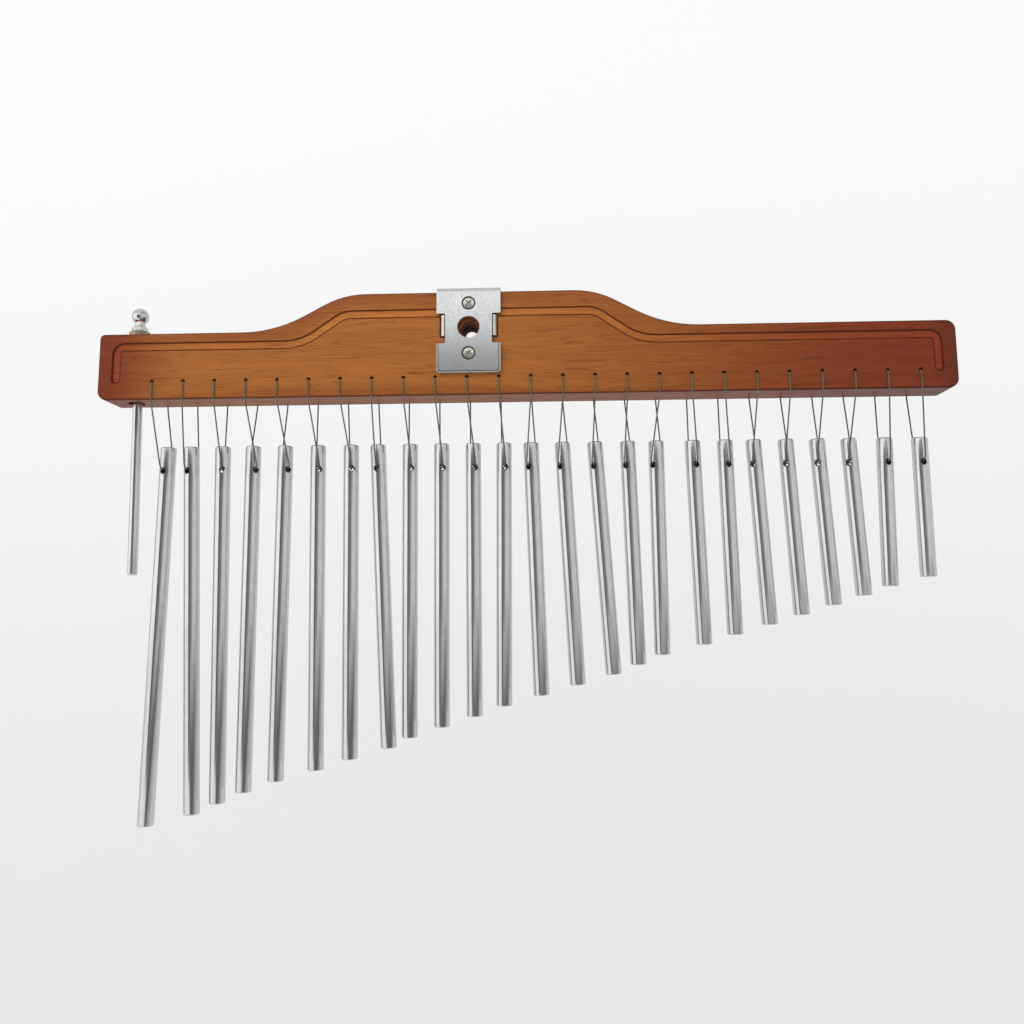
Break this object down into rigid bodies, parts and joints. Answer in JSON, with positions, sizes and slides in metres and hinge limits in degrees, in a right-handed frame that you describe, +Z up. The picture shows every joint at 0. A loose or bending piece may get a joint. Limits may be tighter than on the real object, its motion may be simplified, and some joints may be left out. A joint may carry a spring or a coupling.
{
  "type": "bar chimes",
  "caption": "Hand percussion bar chimes: graded polished metal bars hang on cord loops from a shaped hardwood beam with a steel stand bracket and a stored striker.",
  "frame": {"origin": "on the stand bore's axis, in the plane of the beam's front face", "axes": "+X along the beam towards the short bars, +Y from the bracket side to the back, +Z up"},
  "size_m": [0.444, 0.0229, 0.273],
  "materials": {
    "stained_wood": "satin stain and lacquer",
    "plated_steel": "satin nickel plating",
    "screw_steel": "bright zinc plating",
    "polished_aluminium": "polished",
    "striker_steel": "polished",
    "cord": "waxed braided cord"
  },
  "bodies": {
    "beam": {"beam": "stained_wood", "bracket": "plated_steel", "bracket_screws": "screw_steel", "cord_bridges": "cord"},
    "striker": {"striker_rod": "striker_steel", "striker_collar": "striker_steel", "striker_knob": "striker_steel"},
    "loop_01": {"cord_loop_01": "cord"},
    "bar_01": {"chime_bar_01": "polished_aluminium"},
    "loop_02": {"cord_loop_02": "cord"},
    "bar_02": {"chime_bar_02": "polished_aluminium"},
    "loop_03": {"cord_loop_03": "cord"},
    "bar_03": {"chime_bar_03": "polished_aluminium"},
    "loop_04": {"cord_loop_04": "cord"},
    "bar_04": {"chime_bar_04": "polished_aluminium"},
    "loop_05": {"cord_loop_05": "cord"},
    "bar_05": {"chime_bar_05": "polished_aluminium"},
    "loop_06": {"cord_loop_06": "cord"},
    "bar_06": {"chime_bar_06": "polished_aluminium"},
    "loop_07": {"cord_loop_07": "cord"},
    "bar_07": {"chime_bar_07": "polished_aluminium"},
    "loop_08": {"cord_loop_08": "cord"},
    "bar_08": {"chime_bar_08": "polished_aluminium"},
    "loop_09": {"cord_loop_09": "cord"},
    "bar_09": {"chime_bar_09": "polished_aluminium"},
    "loop_10": {"cord_loop_10": "cord"},
    "bar_10": {"chime_bar_10": "polished_aluminium"},
    "loop_11": {"cord_loop_11": "cord"},
    "bar_11": {"chime_bar_11": "polished_aluminium"},
    "loop_12": {"cord_loop_12": "cord"},
    "bar_12": {"chime_bar_12": "polished_aluminium"},
    "loop_13": {"cord_loop_13": "cord"},
    "bar_13": {"chime_bar_13": "polished_aluminium"},
    "loop_14": {"cord_loop_14": "cord"},
    "bar_14": {"chime_bar_14": "polished_aluminium"},
    "loop_15": {"cord_loop_15": "cord"},
    "bar_15": {"chime_bar_15": "polished_aluminium"},
    "loop_16": {"cord_loop_16": "cord"},
    "bar_16": {"chime_bar_16": "polished_aluminium"},
    "loop_17": {"cord_loop_17": "cord"},
    "bar_17": {"chime_bar_17": "polished_aluminium"},
    "loop_18": {"cord_loop_18": "cord"},
    "bar_18": {"chime_bar_18": "polished_aluminium"},
    "loop_19": {"cord_loop_19": "cord"},
    "bar_19": {"chime_bar_19": "polished_aluminium"},
    "loop_20": {"cord_loop_20": "cord"},
    "bar_20": {"chime_bar_20": "polished_aluminium"},
    "loop_21": {"cord_loop_21": "cord"},
    "bar_21": {"chime_bar_21": "polished_aluminium"},
    "loop_22": {"cord_loop_22": "cord"},
    "bar_22": {"chime_bar_22": "polished_aluminium"},
    "loop_23": {"cord_loop_23": "cord"},
    "bar_23": {"chime_bar_23": "polished_aluminium"},
    "loop_24": {"cord_loop_24": "cord"},
    "bar_24": {"chime_bar_24": "polished_aluminium"},
    "loop_25": {"cord_loop_25": "cord"},
    "bar_25": {"chime_bar_25": "polished_aluminium"}
  },
  "joints": [
    {"name": "striker_lift", "type": "slide", "parent": "beam", "child": "striker", "axis": [-0.0175, 0, 0.9998], "range_m": [0, 0.14]},
    {"name": "sway_01", "type": "hinge", "parent": "beam", "child": "loop_01", "pos_m": [-0.166, 0.01, -0.0354], "axis": [0, -1, 0], "range_deg": [-5.1, 3.9]},
    {"name": "swing_01", "type": "hinge", "parent": "loop_01", "child": "bar_01", "pos_m": [-0.16, 0.01, -0.07175], "axis": [1, 0, 0], "range_deg": [-7, 7]},
    {"name": "sway_02", "type": "hinge", "parent": "beam", "child": "loop_02", "pos_m": [-0.1495, 0.01, -0.0354], "axis": [0, -1, 0], "range_deg": [-3.9, 1.2]},
    {"name": "swing_02", "type": "hinge", "parent": "loop_02", "child": "bar_02", "pos_m": [-0.147, 0.01, -0.07175], "axis": [1, 0, 0], "range_deg": [-7, 7]},
    {"name": "sway_03", "type": "hinge", "parent": "beam", "child": "loop_03", "pos_m": [-0.133, 0.01, -0.0354], "axis": [0, -1, 0], "range_deg": [-1.2, 1.3]},
    {"name": "swing_03", "type": "hinge", "parent": "loop_03", "child": "bar_03", "pos_m": [-0.1305, 0.01, -0.07175], "axis": [1, 0, 0], "range_deg": [-7, 7]},
    {"name": "sway_04", "type": "hinge", "parent": "beam", "child": "loop_04", "pos_m": [-0.1165, 0.01, -0.0354], "axis": [0, -1, 0], "range_deg": [-1.3, 2.25]},
    {"name": "swing_04", "type": "hinge", "parent": "loop_04", "child": "bar_04", "pos_m": [-0.1145, 0.01, -0.07175], "axis": [1, 0, 0], "range_deg": [-7, 7]},
    {"name": "sway_05", "type": "hinge", "parent": "beam", "child": "loop_05", "pos_m": [-0.1, 0.01, -0.0354], "axis": [0, -1, 0], "range_deg": [-2.25, 3.5]},
    {"name": "swing_05", "type": "hinge", "parent": "loop_05", "child": "bar_05", "pos_m": [-0.0975, 0.01, -0.07175], "axis": [1, 0, 0], "range_deg": [-7, 7]},
    {"name": "sway_06", "type": "hinge", "parent": "beam", "child": "loop_06", "pos_m": [-0.0835, 0.01, -0.0354], "axis": [0, -1, 0], "range_deg": [-3.5, 2.7]},
    {"name": "swing_06", "type": "hinge", "parent": "loop_06", "child": "bar_06", "pos_m": [-0.08, 0.01, -0.07175], "axis": [1, 0, 0], "range_deg": [-7, 7]},
    {"name": "sway_07", "type": "hinge", "parent": "beam", "child": "loop_07", "pos_m": [-0.067, 0.01, -0.0354], "axis": [0, -1, 0], "range_deg": [-2.7, 3.55]},
    {"name": "swing_07", "type": "hinge", "parent": "loop_07", "child": "bar_07", "pos_m": [-0.0625, 0.01, -0.07175], "axis": [1, 0, 0], "range_deg": [-7, 7]},
    {"name": "sway_08", "type": "hinge", "parent": "beam", "child": "loop_08", "pos_m": [-0.0505, 0.01, -0.0354], "axis": [0, -1, 0], "range_deg": [-3.55, 0.7]},
    {"name": "swing_08", "type": "hinge", "parent": "loop_08", "child": "bar_08", "pos_m": [-0.048, 0.01, -0.07175], "axis": [1, 0, 0], "range_deg": [-7, 7]},
    {"name": "sway_09", "type": "hinge", "parent": "beam", "child": "loop_09", "pos_m": [-0.034, 0.01, -0.0354], "axis": [0, -1, 0], "range_deg": [-0.7, 2.6]},
    {"name": "swing_09", "type": "hinge", "parent": "loop_09", "child": "bar_09", "pos_m": [-0.0315, 0.01, -0.07175], "axis": [1, 0, 0], "range_deg": [-7, 7]},
    {"name": "sway_10", "type": "hinge", "parent": "beam", "child": "loop_10", "pos_m": [-0.0175, 0.01, -0.0354], "axis": [0, -1, 0], "range_deg": [-2.6, 2.8]},
    {"name": "swing_10", "type": "hinge", "parent": "loop_10", "child": "bar_10", "pos_m": [-0.015, 0.01, -0.07175], "axis": [1, 0, 0], "range_deg": [-7, 7]},
    {"name": "sway_11", "type": "hinge", "parent": "beam", "child": "loop_11", "pos_m": [-0.001, 0.01, -0.0354], "axis": [0, -1, 0], "range_deg": [-2.8, 2.3]},
    {"name": "swing_11", "type": "hinge", "parent": "loop_11", "child": "bar_11", "pos_m": [0.0015, 0.01, -0.07175], "axis": [1, 0, 0], "range_deg": [-7, 7]},
    {"name": "sway_12", "type": "hinge", "parent": "beam", "child": "loop_12", "pos_m": [0.0155, 0.01, -0.0354], "axis": [0, -1, 0], "range_deg": [-2.3, 3.8]},
    {"name": "swing_12", "type": "hinge", "parent": "loop_12", "child": "bar_12", "pos_m": [0.0175, 0.01, -0.07175], "axis": [1, 0, 0], "range_deg": [-7, 7]},
    {"name": "sway_13", "type": "hinge", "parent": "beam", "child": "loop_13", "pos_m": [0.032, 0.01, -0.0354], "axis": [0, -1, 0], "range_deg": [-3.8, 3.8]},
    {"name": "swing_13", "type": "hinge", "parent": "loop_13", "child": "bar_13", "pos_m": [0.032, 0.01, -0.07175], "axis": [1, 0, 0], "range_deg": [-7, 7]},
    {"name": "sway_14", "type": "hinge", "parent": "beam", "child": "loop_14", "pos_m": [0.0485, 0.01, -0.0354], "axis": [0, -1, 0], "range_deg": [-3.85, 3.85]},
    {"name": "swing_14", "type": "hinge", "parent": "loop_14", "child": "bar_14", "pos_m": [0.0485, 0.01, -0.07175], "axis": [1, 0, 0], "range_deg": [-7, 7]},
    {"name": "sway_15", "type": "hinge", "parent": "beam", "child": "loop_15", "pos_m": [0.065, 0.01, -0.0354], "axis": [0, -1, 0], "range_deg": [-3.9, 1.75]},
    {"name": "swing_15", "type": "hinge", "parent": "loop_15", "child": "bar_15", "pos_m": [0.0655, 0.01, -0.07175], "axis": [1, 0, 0], "range_deg": [-7, 7]},
    {"name": "sway_16", "type": "hinge", "parent": "beam", "child": "loop_16", "pos_m": [0.0815, 0.01, -0.0354], "axis": [0, -1, 0], "range_deg": [-1.75, 1.6]},
    {"name": "swing_16", "type": "hinge", "parent": "loop_16", "child": "bar_16", "pos_m": [0.082, 0.01, -0.07175], "axis": [1, 0, 0], "range_deg": [-7, 7]},
    {"name": "sway_17", "type": "hinge", "parent": "beam", "child": "loop_17", "pos_m": [0.098, 0.01, -0.0354], "axis": [0, -1, 0], "range_deg": [-1.6, 5.55]},
    {"name": "swing_17", "type": "hinge", "parent": "loop_17", "child": "bar_17", "pos_m": [0.0965, 0.01, -0.07175], "axis": [1, 0, 0], "range_deg": [-7, 7]},
    {"name": "sway_18", "type": "hinge", "parent": "beam", "child": "loop_18", "pos_m": [0.1145, 0.01, -0.0354], "axis": [0, -1, 0], "range_deg": [-5.6, 3.3]},
    {"name": "swing_18", "type": "hinge", "parent": "loop_18", "child": "bar_18", "pos_m": [0.1155, 0.01, -0.07175], "axis": [1, 0, 0], "range_deg": [-7, 7]},
    {"name": "sway_19", "type": "hinge", "parent": "beam", "child": "loop_19", "pos_m": [0.131, 0.01, -0.0354], "axis": [0, -1, 0], "range_deg": [-3.35, 4.35]},
    {"name": "swing_19", "type": "hinge", "parent": "loop_19", "child": "bar_19", "pos_m": [0.132, 0.01, -0.07175], "axis": [1, 0, 0], "range_deg": [-7, 7]},
    {"name": "sway_20", "type": "hinge", "parent": "beam", "child": "loop_20", "pos_m": [0.1475, 0.01, -0.0354], "axis": [0, -1, 0], "range_deg": [-4.35, 3.9]},
    {"name": "swing_20", "type": "hinge", "parent": "loop_20", "child": "bar_20", "pos_m": [0.147, 0.01, -0.07175], "axis": [1, 0, 0], "range_deg": [-7, 7]},
    {"name": "sway_21", "type": "hinge", "parent": "beam", "child": "loop_21", "pos_m": [0.164, 0.01, -0.0354], "axis": [0, -1, 0], "range_deg": [-3.95, 4.05]},
    {"name": "swing_21", "type": "hinge", "parent": "loop_21", "child": "bar_21", "pos_m": [0.1635, 0.01, -0.07175], "axis": [1, 0, 0], "range_deg": [-7, 7]},
    {"name": "sway_22", "type": "hinge", "parent": "beam", "child": "loop_22", "pos_m": [0.1805, 0.01, -0.0354], "axis": [0, -1, 0], "range_deg": [-4.1, 3.8]},
    {"name": "swing_22", "type": "hinge", "parent": "loop_22", "child": "bar_22", "pos_m": [0.1795, 0.01, -0.07175], "axis": [1, 0, 0], "range_deg": [-7, 7]},
    {"name": "sway_23", "type": "hinge", "parent": "beam", "child": "loop_23", "pos_m": [0.197, 0.01, -0.0354], "axis": [0, -1, 0], "range_deg": [-3.85, 2.85]},
    {"name": "swing_23", "type": "hinge", "parent": "loop_23", "child": "bar_23", "pos_m": [0.1955, 0.01, -0.07175], "axis": [1, 0, 0], "range_deg": [-7, 7]},
    {"name": "sway_24", "type": "hinge", "parent": "beam", "child": "loop_24", "pos_m": [0.2135, 0.01, -0.0354], "axis": [0, -1, 0], "range_deg": [-2.9, 6.35]},
    {"name": "swing_24", "type": "hinge", "parent": "loop_24", "child": "bar_24", "pos_m": [0.213, 0.01, -0.07175], "axis": [1, 0, 0], "range_deg": [-7, 7]},
    {"name": "sway_25", "type": "hinge", "parent": "beam", "child": "loop_25", "pos_m": [0.23, 0.01, -0.0354], "axis": [0, -1, 0], "range_deg": [-6.4, 35]},
    {"name": "swing_25", "type": "hinge", "parent": "loop_25", "child": "bar_25", "pos_m": [0.231, 0.01, -0.07175], "axis": [1, 0, 0], "range_deg": [-7, 7]}
  ]
}
